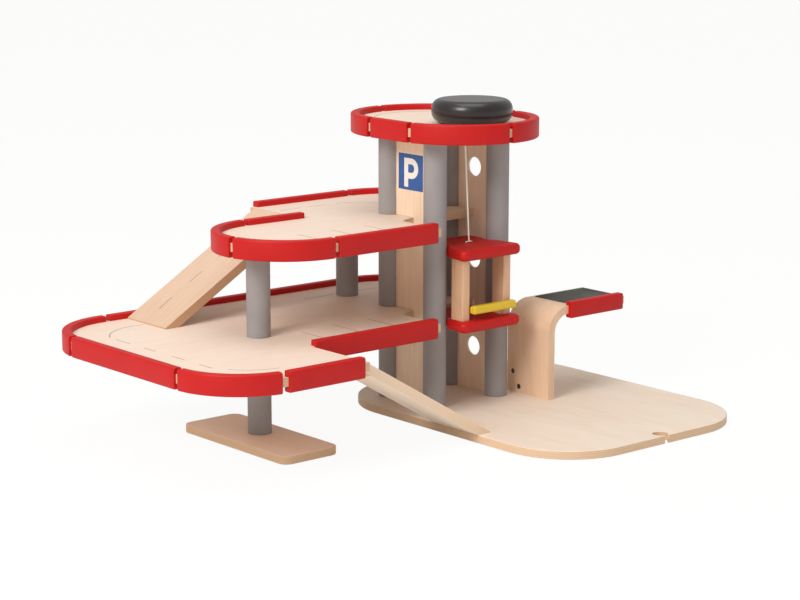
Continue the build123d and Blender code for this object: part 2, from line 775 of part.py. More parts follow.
hub_z = z3 + hub_gap
washer_z = z3 - board_t - hub_gap - washer_h
with BuildPart() as winch_spindle:
    with BuildSketch(Plane.XY.offset(washer_z)):
        with Locations((knob_x, cord_y)):
            Circle(washer_d / 2)
    extrude(amount=washer_h)
    with BuildSketch(Plane.XY.offset(washer_z)):
        with Locations((knob_x, cord_y)):
            Circle(spindle_d / 2)
    extrude(amount=knob_z + recess_h + spindle_in - washer_z)
    with BuildSketch(Plane.XY.offset(hub_z)):
        with Locations((knob_x, cord_y)):
            Circle(hub_r)
    extrude(amount=knob_z + recess_h - hub_z)
save(winch_spindle.part, "winch_spindle")

coil_z = hub_z + coil_gap
coil_h = cord_turns * cord_d
with BuildPart() as wound_cord:
    with BuildSketch(Plane.XZ.offset(-cord_y)):
        with Locations((knob_x + hub_r + cord_d / 2, coil_z + coil_h / 2)):
            RectangleRounded(cord_d, coil_h, coil_r)
    revolve(axis=Axis((knob_x, cord_y, 0), (0, 0, 1)))
save(wound_cord.part, "wound_cord")

hang_z = z3 - board_t  # where the free cord starts, at the top deck's underside
with BuildPart() as cord_riser:
    with BuildSketch(Plane.XY.offset(hang_z)):
        with Locations((cord_x, cord_y)):
            Circle(cord_d / 2)
    extrude(amount=coil_z - cord_gap - hang_z)
save(cord_riser.part, "cord_riser")

with BuildPart() as lift_cord:
    with BuildSketch(Plane.XY.offset(roof_top + knot_d)):
        with Locations((cord_end_x, cord_y)):
            Circle(cord_d / 2)
    with BuildSketch(Plane.XY.offset(hang_z)):
        with Locations((cord_x, cord_y)):
            Circle(cord_d / 2)
    loft()
save(lift_cord.part, "lift_cord")
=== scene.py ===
# %% [markdown]
# # A wooden toy parking garage
# Three plywood decks stand on round columns. Red rails run round their edges, two ramps
# join them, and a small lift hangs on a cord that a black knob on top winds up.
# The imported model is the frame: every piece here takes its place from it, in metres.

from math import radians

import bmesh
import bpy
import numpy as np
from mathutils import Matrix, Vector


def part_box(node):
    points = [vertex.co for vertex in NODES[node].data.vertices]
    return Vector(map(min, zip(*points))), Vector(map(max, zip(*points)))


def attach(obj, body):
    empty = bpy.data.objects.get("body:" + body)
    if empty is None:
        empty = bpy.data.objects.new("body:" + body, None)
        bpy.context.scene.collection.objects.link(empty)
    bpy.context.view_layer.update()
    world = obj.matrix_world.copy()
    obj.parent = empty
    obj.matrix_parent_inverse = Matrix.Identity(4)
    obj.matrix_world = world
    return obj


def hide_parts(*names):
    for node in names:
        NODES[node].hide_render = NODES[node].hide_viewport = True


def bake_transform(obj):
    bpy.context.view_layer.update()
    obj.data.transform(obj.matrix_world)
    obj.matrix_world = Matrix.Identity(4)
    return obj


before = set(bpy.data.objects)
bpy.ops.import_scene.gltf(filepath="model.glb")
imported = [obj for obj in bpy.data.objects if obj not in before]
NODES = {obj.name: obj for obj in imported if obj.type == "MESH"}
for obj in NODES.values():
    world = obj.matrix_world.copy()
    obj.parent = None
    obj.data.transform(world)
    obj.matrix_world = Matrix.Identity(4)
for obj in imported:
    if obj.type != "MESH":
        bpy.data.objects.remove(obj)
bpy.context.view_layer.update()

MM = 0.001

# %% [markdown]
# ## The camera
# The photograph was taken from a little above the lowest deck with a long lens. Its place
# was worked out from the straight edges and the columns, so it is set by numbers and not
# by a tracking constraint.

# %% Camera
def camera_matrix(place, azimuth, elevation, roll):
    """Columns are the camera's right, up and back directions, turned by roll about back."""
    a, e, r = (radians(v) for v in (azimuth, elevation, roll))
    back = np.array([np.sin(a) * np.cos(e), -np.cos(a) * np.cos(e), np.sin(e)])
    right = np.array([np.cos(a), np.sin(a), 0.0])
    up = np.cross(back, right)
    turned_right = right * np.cos(r) + up * np.sin(r)
    turned_up = up * np.cos(r) - right * np.sin(r)
    m = np.eye(4)
    m[:3, 0], m[:3, 1], m[:3, 2] = turned_right, turned_up, back
    m[:3, 3] = np.array(place)
    return Matrix(m.tolist())


FOCAL_PIXELS, PHOTO_WIDTH = 2217.5, 800
lens = bpy.data.cameras.new("camera")
lens.sensor_fit = "HORIZONTAL"
lens.sensor_width = 36.0
lens.lens = FOCAL_PIXELS / PHOTO_WIDTH * lens.sensor_width
lens.clip_start, lens.clip_end = 0.05, 60.0
camera = bpy.data.objects.new("camera", lens)
bpy.context.scene.collection.objects.link(camera)
camera.matrix_world = camera_matrix((2.05757, -1.73532, 0.67354), 49.59, 11.40, 0.05)
bpy.context.scene.camera = camera
print("lens", round(lens.lens, 2), "mm")

# %% [markdown]
# ## Making a mesh from arrays
# Every new piece is a surface on a grid: rows run along the piece and columns run round
# it. A few helpers turn such grids into closed meshes, and the rest of the lesson only has
# to say where the points go.

# %% Grid helpers
def put_mesh(name, points, faces, sharp=30.0):
    """A mesh object from arrays of points and faces, smooth but for edges over sharp."""
    mesh = bpy.data.meshes.new(name)
    mesh.from_pydata(np.asarray(points, float).tolist(), [], [list(f) for f in faces])
    mesh.validate()
    piece = bpy.data.objects.new(name, mesh)
    bpy.context.scene.collection.objects.link(piece)
    mesh.shade_smooth()
    mesh.set_sharp_from_angle(angle=radians(sharp))
    return piece


def grid_faces(rows, cols, round_again=True):
    """Quads of a grid. Index = row * cols + column. The last column meets the first one
    again, unless the grid is an open sheet."""
    r = np.arange(rows - 1)[:, None]
    c = np.arange(cols if round_again else cols - 1)[None, :]
    d = (c + 1) % cols
    quads = np.stack([r * cols + c, r * cols + d, (r + 1) * cols + d, (r + 1) * cols + c], -1)
    return quads.reshape(-1, 4).tolist()


def tubes_mesh(name, tubes, sharp=30.0):
    """One mesh of several tubes. Each is (rows, cols, 3), and its first and last ring are
    closed with one flat face."""
    points, faces = [], []
    for rings in tubes:
        rows, cols, _ = rings.shape
        first = len(points)
        quads = grid_faces(rows, cols)
        caps = [list(range(cols))[::-1], [(rows - 1) * cols + i for i in range(cols)]]
        faces += [[first + i for i in face] for face in quads + caps]
        points += rings.reshape(-1, 3).tolist()
    return put_mesh(name, points, faces, sharp)


def mend(mesh, weld=None, face_out=True):
    """Merges points closer than weld and turns every face outwards."""
    work = bmesh.new()
    work.from_mesh(mesh)
    if weld is not None:
        bmesh.ops.remove_doubles(work, verts=work.verts, dist=weld)
    if face_out:
        bmesh.ops.recalc_face_normals(work, faces=work.faces)
    work.to_mesh(mesh)
    work.free()


def rounded_box_profile(width, height, radius, steps=5):
    """Corner arcs of a rectangle: the corner's middle plus radius times (cos, sin)."""
    t = np.linspace(0, np.pi / 2, steps)
    mid = np.array([width / 2 - radius, height / 2 - radius])
    out = []
    for k, (sx, sy) in enumerate([(1, 1), (-1, 1), (-1, -1), (1, -1)]):
        a = t + k * np.pi / 2
        out.append(
            np.stack([sx * mid[0] + radius * np.cos(a), sy * mid[1] + radius * np.sin(a)], 1)
        )
    return np.concatenate(out)


def unit(vectors):
    """Each row divided by its length."""
    return vectors / np.linalg.norm(vectors, axis=1)[:, None]


def directions(path):
    """The direction at each point of a path: the central difference of its points."""
    return unit(np.gradient(path, axis=0))


def distances(path):
    """How far along the path each of its points is: the running sum of its steps."""
    steps = np.linalg.norm(np.diff(path, axis=0), axis=1)
    return np.concatenate([[0], np.cumsum(steps)])


# %% [markdown]
# ## The lift cord
# A white cord hangs from the hole beside the knob's hub and carries the lift. It is pulled
# tight, so its line is straight.

# %% Lift cord
def spline_points(name, route):
    """Points along the smooth line of a route, read from a NURBS curve with no bevel."""
    curve = bpy.data.curves.new(name + "_line", "CURVE")
    curve.dimensions = "3D"
    line = curve.splines.new("NURBS")
    line.points.add(len(route) - 1)
    for point, place in zip(line.points, route):
        point.co = (*place, 1.0)
    line.order_u = 3
    line.use_endpoint_u = True
    line.resolution_u = 16
    holder = bpy.data.objects.new(name + "_line", curve)
    bpy.context.scene.collection.objects.link(holder)
    bpy.context.view_layer.update()
    flat = bpy.data.meshes.new_from_object(holder)
    points = np.array([v.co[:] for v in flat.vertices])
    bpy.data.objects.remove(holder)
    bpy.data.meshes.remove(flat)
    return points


def strand_rings(points, radius, cols, twist=0.0, lobes=0.0, upright=(0.0, 1.0, 0.0)):
    """Rings round a line: the line's point plus r (cos a, sin a) across it, where
    r = radius (1 - lobes + lobes |cos(a - twist s)|) gives a laid two-strand cord."""
    forward = directions(points)
    across = unit(np.cross(forward, np.array(upright)))
    other = np.cross(forward, across)
    s = distances(points)
    a = np.linspace(0, 2 * np.pi, cols, endpoint=False)[None, :]
    r = radius * (1 - lobes + lobes * np.abs(np.cos(a - twist * s[:, None])))
    return points[:, None, :] + r[..., None] * (
        np.cos(a)[..., None] * across[:, None, :] + np.sin(a)[..., None] * other[:, None, :]
    )


CORD_RADIUS = 1.0 * MM
CORD_ROWS = 220
STRAND_TWIST = 1400.0  # radians to the metre
cord_top = np.array([79.5, 51.0, 345.0]) * MM
cord_foot = np.array([88.5, 51.0, 211.6]) * MM
cord_route = [cord_top + (cord_foot - cord_top) * f for f in (0.0, 0.09, 0.5, 0.91, 1.0)]
cord_line = spline_points("lift_cord", cord_route)
# The route is straight, so its rings can stand at even steps between its two ends.
even = np.linspace(0, 1, CORD_ROWS)[:, None]
cord_line = cord_line[0] + (cord_line[-1] - cord_line[0]) * even
cord_piece = tubes_mesh(
    "hanging_cord",
    [strand_rings(cord_line, CORD_RADIUS, 20, twist=STRAND_TWIST, lobes=0.22)], 60,
)
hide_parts("lift_cord")
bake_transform(cord_piece)

# %% [markdown]
# ## Shared finishes
# Birch ply shows two things: a soft wandering figure on its faces and thin dark and light
# layers on its cut edges. Both are groups with their own inputs, so that a deck and a ramp
# can use the same wood with the grain turned another way.

# %% Node helpers
def srgb(r, g, b):
    """A colour as read from a picture, 0 to 255, as the linear values that nodes want."""
    c = np.array([r, g, b]) / 255.0
    linear = np.where(c <= 0.04045, c / 12.92, ((c + 0.055) / 1.055) ** 2.4)
    return (*linear.tolist(), 1.0)


def feed(tree, socket, value):
    """Links the value into the socket if it is a socket itself, or else sets it."""
    if isinstance(value, bpy.types.NodeSocket):
        tree.links.new(value, socket)
    else:
        socket.default_value = value


class Board:
    """Adds nodes to a tree. An input is named by its label, or by i and its number."""

    def __init__(self, tree):
        self.tree = tree

    def add(self, kind, settings=(), **inputs):
        node = self.tree.nodes.new(kind)
        for key, value in dict(settings).items():
            setattr(node, key, value)
        for key, value in inputs.items():
            numbered = key[0] == "i" and key[1:].isdigit()
            feed(self.tree, node.inputs[int(key[1:]) if numbered else key], value)
        return node

    def math(self, operation, a, b=0.0, clamp=False):
        settings = {"operation": operation, "use_clamp": clamp}
        return self.add("ShaderNodeMath", settings, i0=a, i1=b).outputs[0]

    def mix(self, factor, a, b):
        """A mix of two colours, which are this node's inputs 6 and 7."""
        node = self.add("ShaderNodeMix", {"data_type": "RGBA"}, i0=factor, i6=a, i7=b)
        return node.outputs[2]


def new_group(name, inputs, outputs):
    """A shader node group with named sockets, and its Board."""
    tree = bpy.data.node_groups.new(name, "ShaderNodeTree")
    for label, kind in inputs:
        tree.interface.new_socket(label, in_out="INPUT", socket_type=kind)
    for label, kind in outputs:
        tree.interface.new_socket(label, in_out="OUTPUT", socket_type=kind)
    board = Board(tree)
    enter = tree.nodes.new("NodeGroupInput").outputs
    leave = tree.nodes.new("NodeGroupOutput").inputs
    return tree, board, enter, leave


F, V, C = "NodeSocketFloat", "NodeSocketVector", "NodeSocketColor"

# %% Wood figure
figure, board, enter, leave = new_group(
    "wood_figure",
    [("Vector", V), ("Light", C), ("Dark", C), ("Contrast", F)],
    [("Color", C), ("Figure", F), ("Height", F)],
)
# The vector comes in with the grain along X, in metres. Squeezing X makes long streaks.
# Three noises are laid over each other: long streaks, wide clouds and fine dark pores. In
# a MapRange, inputs 1 and 2 are the values that count as none and as full.
long_grain = board.add("ShaderNodeMapping", i0=enter["Vector"], i3=(5.0, 60.0, 60.0))
streaks = board.add("ShaderNodeTexNoise", Vector=long_grain.outputs[0], Scale=3.2,
                    Detail=6.0, Roughness=0.62, Distortion=0.7)
cloud_map = board.add("ShaderNodeMapping", i0=enter["Vector"], i3=(6.0, 16.0, 16.0))
clouds = board.add("ShaderNodeTexNoise", Vector=cloud_map.outputs[0], Scale=1.3,
                   Detail=3.0, Roughness=0.5, Distortion=1.2)
pore_map = board.add("ShaderNodeMapping", i0=enter["Vector"], i3=(90.0, 1400.0, 1400.0))
pores = board.add("ShaderNodeTexNoise", Vector=pore_map.outputs[0], Scale=1.0,
                  Detail=2.0, Roughness=0.5)
fleck = board.add("ShaderNodeMapRange", i0=pores.outputs[0], i1=0.60, i2=0.72)
both = board.math("ADD", board.math("MULTIPLY", streaks.outputs[0], 0.55),
                  board.math("MULTIPLY", clouds.outputs[0], 0.45))
spread = board.add("ShaderNodeMapRange", i0=both, i1=0.34, i2=0.66)
amount = board.math("MULTIPLY", spread.outputs[0], enter["Contrast"], clamp=True)
base = board.mix(amount, enter["Light"], enter["Dark"])
flecked = board.mix(board.math("MULTIPLY", fleck.outputs[0], 0.16), base, enter["Dark"])
board.tree.links.new(flecked, leave["Color"])
board.tree.links.new(spread.outputs[0], leave["Figure"])
board.tree.links.new(
    board.math("ADD", board.math("MULTIPLY", streaks.outputs[0], 0.7),
               board.math("MULTIPLY", pores.outputs[0], 0.5)), leave["Height"])

# %% Ply layers
plies, board, enter, leave = new_group(
    "ply_layers",
    [("Vector", V), ("Light", C), ("Dark", C)],
    [("Color", C)],
)
PLY = 1.43 * MM  # seven plies in a ten millimetre board
# The vector's Z crosses the layers. sin(pi z / ply) swings once every two plies, and a
# slow noise lets the layers wander by half a millimetre. End grain roughens them.
split = board.add("ShaderNodeSeparateXYZ", i0=enter["Vector"])
wander_map = board.add("ShaderNodeMapping", i0=enter["Vector"], i3=(18.0, 18.0, 0.0))
wander = board.add("ShaderNodeTexNoise", Vector=wander_map.outputs[0], Scale=1.0, Detail=2.0)
height = board.math("ADD", split.outputs[2],
                    board.math("MULTIPLY", wander.outputs[0], 0.5 * MM))
swing = board.math("SINE", board.math("MULTIPLY", board.math("DIVIDE", height, PLY), np.pi))
band = board.add("ShaderNodeMapRange", {"interpolation_type": "SMOOTHSTEP"},
                 i0=swing, i1=-0.5, i2=0.6)
end_map = board.add("ShaderNodeMapping", i0=enter["Vector"], i3=(420.0, 420.0, 160.0))
end_grain = board.add("ShaderNodeTexNoise", Vector=end_map.outputs[0], Scale=1.0,
                      Detail=4.0, Roughness=0.7)
mixed = board.math("ADD", board.math("MULTIPLY", band.outputs[0], 0.30),
                   board.math("MULTIPLY", end_grain.outputs[0], 0.36))
board.tree.links.new(board.mix(board.math("SUBTRACT", mixed, 0.05, clamp=True),
                               enter["Light"], enter["Dark"]), leave["Color"])

# %% Paint over wood
painted, board, enter, leave = new_group(
    "painted_wood",
    [("Vector", V), ("Paint", C), ("Shade", C), ("Mottle", F)],
    [("Color", C), ("Roughness", F), ("Height", F)],
)
# Brushed paint pools a little: slow clouds move its colour and a fine ripple its surface.
slow = board.add("ShaderNodeTexNoise", Vector=enter["Vector"], Scale=38.0, Detail=3.0)
fine = board.add("ShaderNodeTexNoise", Vector=enter["Vector"], Scale=900.0, Detail=2.0)
pool = board.add("ShaderNodeMapRange", i0=slow.outputs[0], i1=0.35, i2=0.7)
board.tree.links.new(
    board.mix(board.math("MULTIPLY", pool.outputs[0], enter["Mottle"]), enter["Paint"],
              enter["Shade"]), leave["Color"])
board.tree.links.new(board.add("ShaderNodeMapRange", i0=slow.outputs[0], i3=0.26,
                               i4=0.40).outputs[0], leave["Roughness"])
board.tree.links.new(
    board.math("ADD", board.math("MULTIPLY", fine.outputs[0], 0.25), slow.outputs[0]),
    leave["Height"])

# %% [markdown]
# ## The finishes themselves
# Each material places the groups with its own colours. The faces of a board and its cut
# edges are told apart by the surface's own direction: up or down is a face of the sheet.

# %% Materials
def start_material(name):
    """An empty node material with its shader and output linked."""
    material = bpy.data.materials.new(name)
    material.use_nodes = True
    material.node_tree.nodes.clear()
    b = Board(material.node_tree)
    shader = b.add("ShaderNodeBsdfPrincipled")
    output = b.add("ShaderNodeOutputMaterial")
    material.node_tree.links.new(shader.outputs[0], output.inputs[0])
    return material, b, shader


def turn(b, vector, degrees, kind="POINT"):
    """The vector turned by three angles. Kind TEXTURE turns it the other way."""
    return b.add("ShaderNodeMapping", {"vector_type": kind}, i0=vector,
                 i2=tuple(radians(v) for v in degrees)).outputs[0]


def bump(b, shader, height, strength, distance):
    """A fine relief on the surface, distance metres deep at most."""
    node = b.add("ShaderNodeBump", Strength=strength, Distance=distance, Height=height)
    b.tree.links.new(node.outputs[0], shader.inputs["Normal"])


def ply_material(name, light, dark, edge_light, edge_dark, contrast=0.5,
                 grain_turn=(0, 0, 0), sheet_turn=(0, 0, 0)):
    """Birch ply. sheet_turn lays the board flat, and grain_turn puts its grain along X."""
    material, b, shader = start_material(name)
    place = b.add("ShaderNodeTexCoord").outputs["Object"]
    flat = turn(b, place, sheet_turn, "TEXTURE")
    along = turn(b, flat, grain_turn)
    face = b.add("ShaderNodeGroup", {"node_tree": figure}, Vector=along, Light=srgb(*light),
                 Dark=srgb(*dark), Contrast=contrast)
    edge = b.add("ShaderNodeGroup", {"node_tree": plies}, Vector=flat,
                 Light=srgb(*edge_light), Dark=srgb(*edge_dark))
    normal = b.add("ShaderNodeNewGeometry").outputs["Normal"]
    level_normal = turn(b, normal, sheet_turn, "TEXTURE")
    up = b.math("ABSOLUTE", b.add("ShaderNodeSeparateXYZ", i0=level_normal).outputs[2])
    is_edge = b.add("ShaderNodeMapRange", i0=up, i1=0.75, i2=0.45).outputs[0]
    b.tree.links.new(b.mix(is_edge, face.outputs["Color"], edge.outputs["Color"]),
                     shader.inputs["Base Color"])
    rough = b.add("ShaderNodeMapRange", i0=face.outputs["Figure"], i3=0.46, i4=0.60)
    b.tree.links.new(rough.outputs[0], shader.inputs["Roughness"])
    bump(b, shader, face.outputs["Height"], 0.25, 0.0002)
    return material


def solid_wood_material(name, light, dark, contrast=0.7):
    """Timber with upright grain, which is turned on to X, and no layers."""
    material, b, shader = start_material(name)
    place = b.add("ShaderNodeTexCoord").outputs["Object"]
    along = turn(b, place, (0, 90, 0))
    face = b.add("ShaderNodeGroup", {"node_tree": figure}, Vector=along, Light=srgb(*light),
                 Dark=srgb(*dark), Contrast=contrast)
    b.tree.links.new(face.outputs["Color"], shader.inputs["Base Color"])
    shader.inputs["Roughness"].default_value = 0.5
    bump(b, shader, face.outputs["Height"], 0.3, 0.0002)
    return material


def paint_material(name, paint, shade, mottle=0.3, coat=0.0, coat_rough=0.18, rough=None,
                   shine=0.3, metal=0.0):
    """Lacquered paint: the colour below and a thin clear coat above it. Mat, cord and
    screws use the same mottled film with no coat."""
    material, b, shader = start_material(name)
    place = b.add("ShaderNodeTexCoord").outputs["Object"]
    film = b.add("ShaderNodeGroup", {"node_tree": painted}, Vector=place,
                 Paint=srgb(*paint), Shade=srgb(*shade), Mottle=mottle)
    for label, value in (
        ("Base Color", film.outputs["Color"]),
        ("Roughness", film.outputs["Roughness"] if rough is None else rough),
        ("Coat Weight", coat), ("Coat Roughness", coat_rough),
        ("Specular IOR Level", shine), ("Metallic", metal),
    ):
        feed(b.tree, shader.inputs[label], value)
    bump(b, shader, film.outputs["Height"], 0.35, 0.12 * MM)
    return material


GRAIN_ALONG_Y = (0, 0, 90)
PLY_EDGE = {"edge_light": (222, 190, 156), "edge_dark": (196, 158, 122)}
RISE, RUN = 115, 194  # a ramp climbs from one deck to the next, in millimetres
tilt = 30.66  # the angle of that slope, in degrees
deck_ply = ply_material("deck_ply", (236, 217, 200), (222, 193, 167), contrast=0.4,
                        grain_turn=GRAIN_ALONG_Y, **PLY_EDGE)
base_ply = ply_material("base_ply", (236, 222, 205), (222, 196, 170), **PLY_EDGE)
# The foot plate and the battens are the base's birch, painted lighter as painted light to
# make up for the shade under the decks.
painted_light_ply = ply_material("painted_light_ply", (250, 220, 198), (238, 202, 176), (226, 190, 154),
                        (206, 166, 126), contrast=0.45)
# The two ramps are the same birch. The upper one, tilted away from the light, is painted
# darker as painted shade, and the lower one, tilted towards it, is painted lighter as painted
# light.
upper_ramp_ply_painted_shade = ply_material("upper_ramp_ply_painted_shade", (216, 186, 160), (196, 158, 128),
                              (206, 164, 128), (182, 138, 102),
                              grain_turn=GRAIN_ALONG_Y, sheet_turn=(tilt, 0, 0))
lower_ramp_ply_painted_light = ply_material("lower_ramp_ply_painted_light", (248, 228, 204), (232, 200, 168),
                              (240, 214, 186), (222, 186, 150),
                              grain_turn=GRAIN_ALONG_Y, sheet_turn=(-tilt, 0, 0))
wall_ply = solid_wood_material("wall_ply", (250, 228, 202), (230, 186, 146), contrast=0.65)
bridge_ply = solid_wood_material("bridge_ply", (238, 206, 176), (214, 172, 134), contrast=0.6)
post_wood = solid_wood_material("post_wood", (232, 192, 156), (206, 158, 118))
red_paint = paint_material("red_paint", (192, 14, 10), (172, 8, 6), coat=0.04,
                           coat_rough=0.3, rough=0.5)
column_paint = paint_material("column_paint", (156, 152, 151), (146, 140, 138), mottle=0.5,
                              coat=0.05, coat_rough=0.4, rough=0.6)
yellow_paint = paint_material("yellow_paint", (226, 192, 44), (208, 168, 28), coat=0.15)
knob_stain = paint_material("knob_stain", (26, 15, 14), (18, 9, 9), mottle=0.6, coat=0.6,
                            coat_rough=0.22, rough=0.45, shine=0.4)
sign_blue = paint_material("sign_blue", (46, 92, 160), (38, 78, 140), mottle=0.4, coat=0.1)
sign_cream = paint_material("sign_cream", (240, 236, 226), (226, 220, 208), coat=0.1)
line_grey = paint_material("line_grey", (150, 138, 128), (128, 116, 106), mottle=0.8,
                           rough=0.7)
mat_rubber = paint_material("mat_rubber", (86, 88, 82), (68, 70, 66), mottle=0.8, rough=0.7)
cord_cotton = paint_material("cord_cotton", (252, 248, 242), (246, 238, 228), mottle=0.7,
                             rough=0.85)
steel = paint_material("steel", (120, 112, 104), (84, 78, 72), mottle=0.7, rough=0.35,
                       metal=0.9)


def wear(piece, material):
    """Gives a piece this one material."""
    piece.data.materials.clear()
    piece.data.materials.append(material)


def dress(piece, material, body, node=None):
    """Gives a piece its finish and the body it moves with, and hides the solid it stands for.
    """
    wear(piece, material)
    if node is not None:
        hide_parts(node)
    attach(piece, body)


wear(cord_piece, cord_cotton)

# %% [markdown]
# ## Boards and small parts that keep their solids
# Decks, walls, ramps and battens are flat sheets, and their solids are already right. They
# only need the finish. The pieces that are replaced below get theirs here too, so that no
# solid is left bare.

# %% Finishes on the solids
finish_of = {
    "lower_deck": deck_ply, "middle_deck": deck_ply, "top_deck": deck_ply,
    "base_plate": base_ply, "foot_plate": painted_light_ply,
    "upper_ramp": upper_ramp_ply_painted_shade, "lower_ramp": lower_ramp_ply_painted_light,
    "upper_batten": painted_light_ply, "lower_batten": painted_light_ply,
    "sign_wall": wall_ply, "window_wall": wall_ply,
    "bridge_board": bridge_ply, "bridge_block": post_wood, "bridge_mat": mat_rubber,
    "bridge_screws": steel, "barrier_pin": steel,
    "lift_post_left": post_wood, "lift_post_right": post_wood,
    "lift_roof": red_paint, "lift_floor": red_paint,
    "barrier_arm": yellow_paint, "winding_knob": knob_stain, "winch_spindle": post_wood,
    "wound_cord": cord_cotton, "cord_riser": cord_cotton, "cord_knot": cord_cotton,
    "lift_cord": cord_cotton,
}
for name, node in NODES.items():
    if "rail" in name:
        wear(node, red_paint)
    elif "column" in name:
        wear(node, column_paint)
    else:
        wear(node, finish_of[name])
print("finished", len(NODES), "nodes")

# %% [markdown]
# ## Smooth copies
# The lift's plates and posts, the arm, the bent bridge, the base, its foot and the top deck
# have rounded faces. A solid's mesh is loose triangles, which would shade as facets, so a
# copy is merged, shaded smooth and shown in its place.

# %% Smooth copies of rounded solids
def smooth_copy(node_name, body, sharp=28.0):
    """A merged, smooth-shaded copy of a solid, which then stands for it."""
    mesh = NODES[node_name].data.copy()
    mesh.name = node_name + "_skin"
    piece = bpy.data.objects.new(node_name + "_skin", mesh)
    bpy.context.scene.collection.objects.link(piece)
    mend(mesh, weld=0.002 * MM, face_out=False)
    if mesh.has_custom_normals:
        mesh.attributes.remove(mesh.attributes["custom_normal"])
    mesh.shade_smooth()
    mesh.set_sharp_from_angle(angle=radians(sharp))
    dress(piece, finish_of[node_name], body, node_name)


for name, body, slot in (
    ("lift_roof", "lift", "pale_wood"), ("lift_floor", "lift", "pale_wood"),
    ("lift_post_left", "lift", "pale_wood"), ("lift_post_right", "lift", "pale_wood"),
    ("barrier_arm", "barrier", "yellow_arm"), ("bridge_board", "garage", "pale_wood"),
    ("base_plate", "garage", "pale_wood"), ("foot_plate", "garage", "pale_wood"),
    ("top_deck", "garage", "pale_wood"),
):
    smooth_copy(name, body)

# %% [markdown]
# ## Columns
# Each column is a painted dowel. Turning a short profile round its axis gives a rounder
# edge than the solid has, with the small bevel that a sawn and sanded dowel gets.

# %% Columns
def turned(name, axis, profile, cols=64):
    """Points (x + r cos a, y + r sin a, z) for each (r, z) of the profile."""
    a = np.linspace(0, 2 * np.pi, cols, endpoint=False)
    r, z = np.asarray(profile).T
    rings = np.stack([axis[0] + r[:, None] * np.cos(a), axis[1] + r[:, None] * np.sin(a),
                      np.repeat(z[:, None], cols, 1)], -1)
    return tubes_mesh(name, [rings], 35)


# The walls cut into the tower's columns, so the middle of a tower column's box isn't its
# axis. Its own x is given here instead.
TOWER_X = {"column_a": 0.0, "column_c": 0.0, "column_b": 0.084, "column_d": 0.084}
COLUMN_R, BEVEL = 14 * MM, 0.5 * MM
SPIGOT = 4.9 * MM  # how far a column's thin end goes into a board
for name in sorted(n for n in NODES if "column" in n):
    low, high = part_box(name)
    mid_x = TOWER_X.get(name[:8], (low[0] + high[0]) / 2)
    mid_y = (low[1] + high[1]) / 2
    z0, z1 = low[2] + SPIGOT, high[2] - SPIGOT
    edge = [(BEVEL, 0.0), (0.15 * BEVEL, 0.4 * BEVEL), (0.0, BEVEL)]
    profile = [(COLUMN_R - draw, z0 + rise) for draw, rise in edge]
    profile += [(COLUMN_R, z) for z in np.linspace(z0 + 4 * MM, z1 - 4 * MM, 5)]
    profile += [(COLUMN_R - draw, z1 - rise) for draw, rise in reversed(edge)]
    dowel = turned(name + "_dowel", (mid_x, mid_y), profile)
    dress(dowel, column_paint, "garage", name)

# %% [markdown]
# ## Rails
# A rail is a rounded strip of painted wood that the board's edge is let into. The section
# is carried along the rail's middle line, and its last millimetre draws in so that the end
# is rounded over like the real one.

# %% Rail shape
RAIL_T, RAIL_H, BRIDGE_RAIL_H = 11 * MM, 24 * MM, 20.5 * MM


def arc_points(cx, cy, r, start, sweep, step=1.5):
    """Middle plus r (cos a, sin a), from start over sweep degrees."""
    a = np.radians(np.linspace(start, start + sweep, max(3, int(abs(sweep) / step))))
    return np.stack([cx + r * np.cos(a), cy + r * np.sin(a)], 1) * MM


def line_points(x0, y0, x1, y1, step=12.0):
    """Points about a step apart on a straight line."""
    n = max(3, int(np.hypot(x1 - x0, y1 - y0) / step))
    t = np.linspace(0, 1, n)[:, None]
    return (np.array([[x0, y0]]) * (1 - t) + np.array([[x1, y1]]) * t) * MM


def rail_rings(path, z, thick, high, radius=2.0 * MM, end=1.2 * MM, steps=5):
    """The section at each point of the path. Near an end, at distance d, the section is
    drawn in by end (1 - sqrt(1 - (1 - d / end)^2)), which is a quarter circle."""
    keep = np.ones(len(path), bool)
    keep[1:] = np.linalg.norm(np.diff(path, axis=0), axis=1) > 1e-6
    path = path[keep]
    s = distances(path)
    ease = end * (1 - np.cos(np.linspace(0, np.pi / 2, steps)))
    inner = s[(s > end * 1.5) & (s < s[-1] - end * 1.5)]
    at = np.concatenate([ease, inner, (s[-1] - ease)[::-1]])
    line = np.stack([np.interp(at, s, path[:, 0]), np.interp(at, s, path[:, 1]),
                     np.full(len(at), z)], 1)
    d = np.minimum(np.minimum(at, s[-1] - at), end)
    draw = end * (1 - np.sqrt(np.maximum(0, 1 - (1 - d / end) ** 2)))
    forward = directions(line)
    side = np.stack([forward[:, 1], -forward[:, 0], np.zeros(len(line))], 1)
    section = rounded_box_profile(thick, high, radius)
    shrink_x = (thick / 2 - draw) / (thick / 2)
    shrink_z = (high / 2 - draw) / (high / 2)
    across = section[None, :, 0] * shrink_x[:, None]
    rise = section[None, :, 1] * shrink_z[:, None]
    rings = line[:, None, :] + across[..., None] * side[:, None, :]
    rings[..., 2] += rise
    return rings


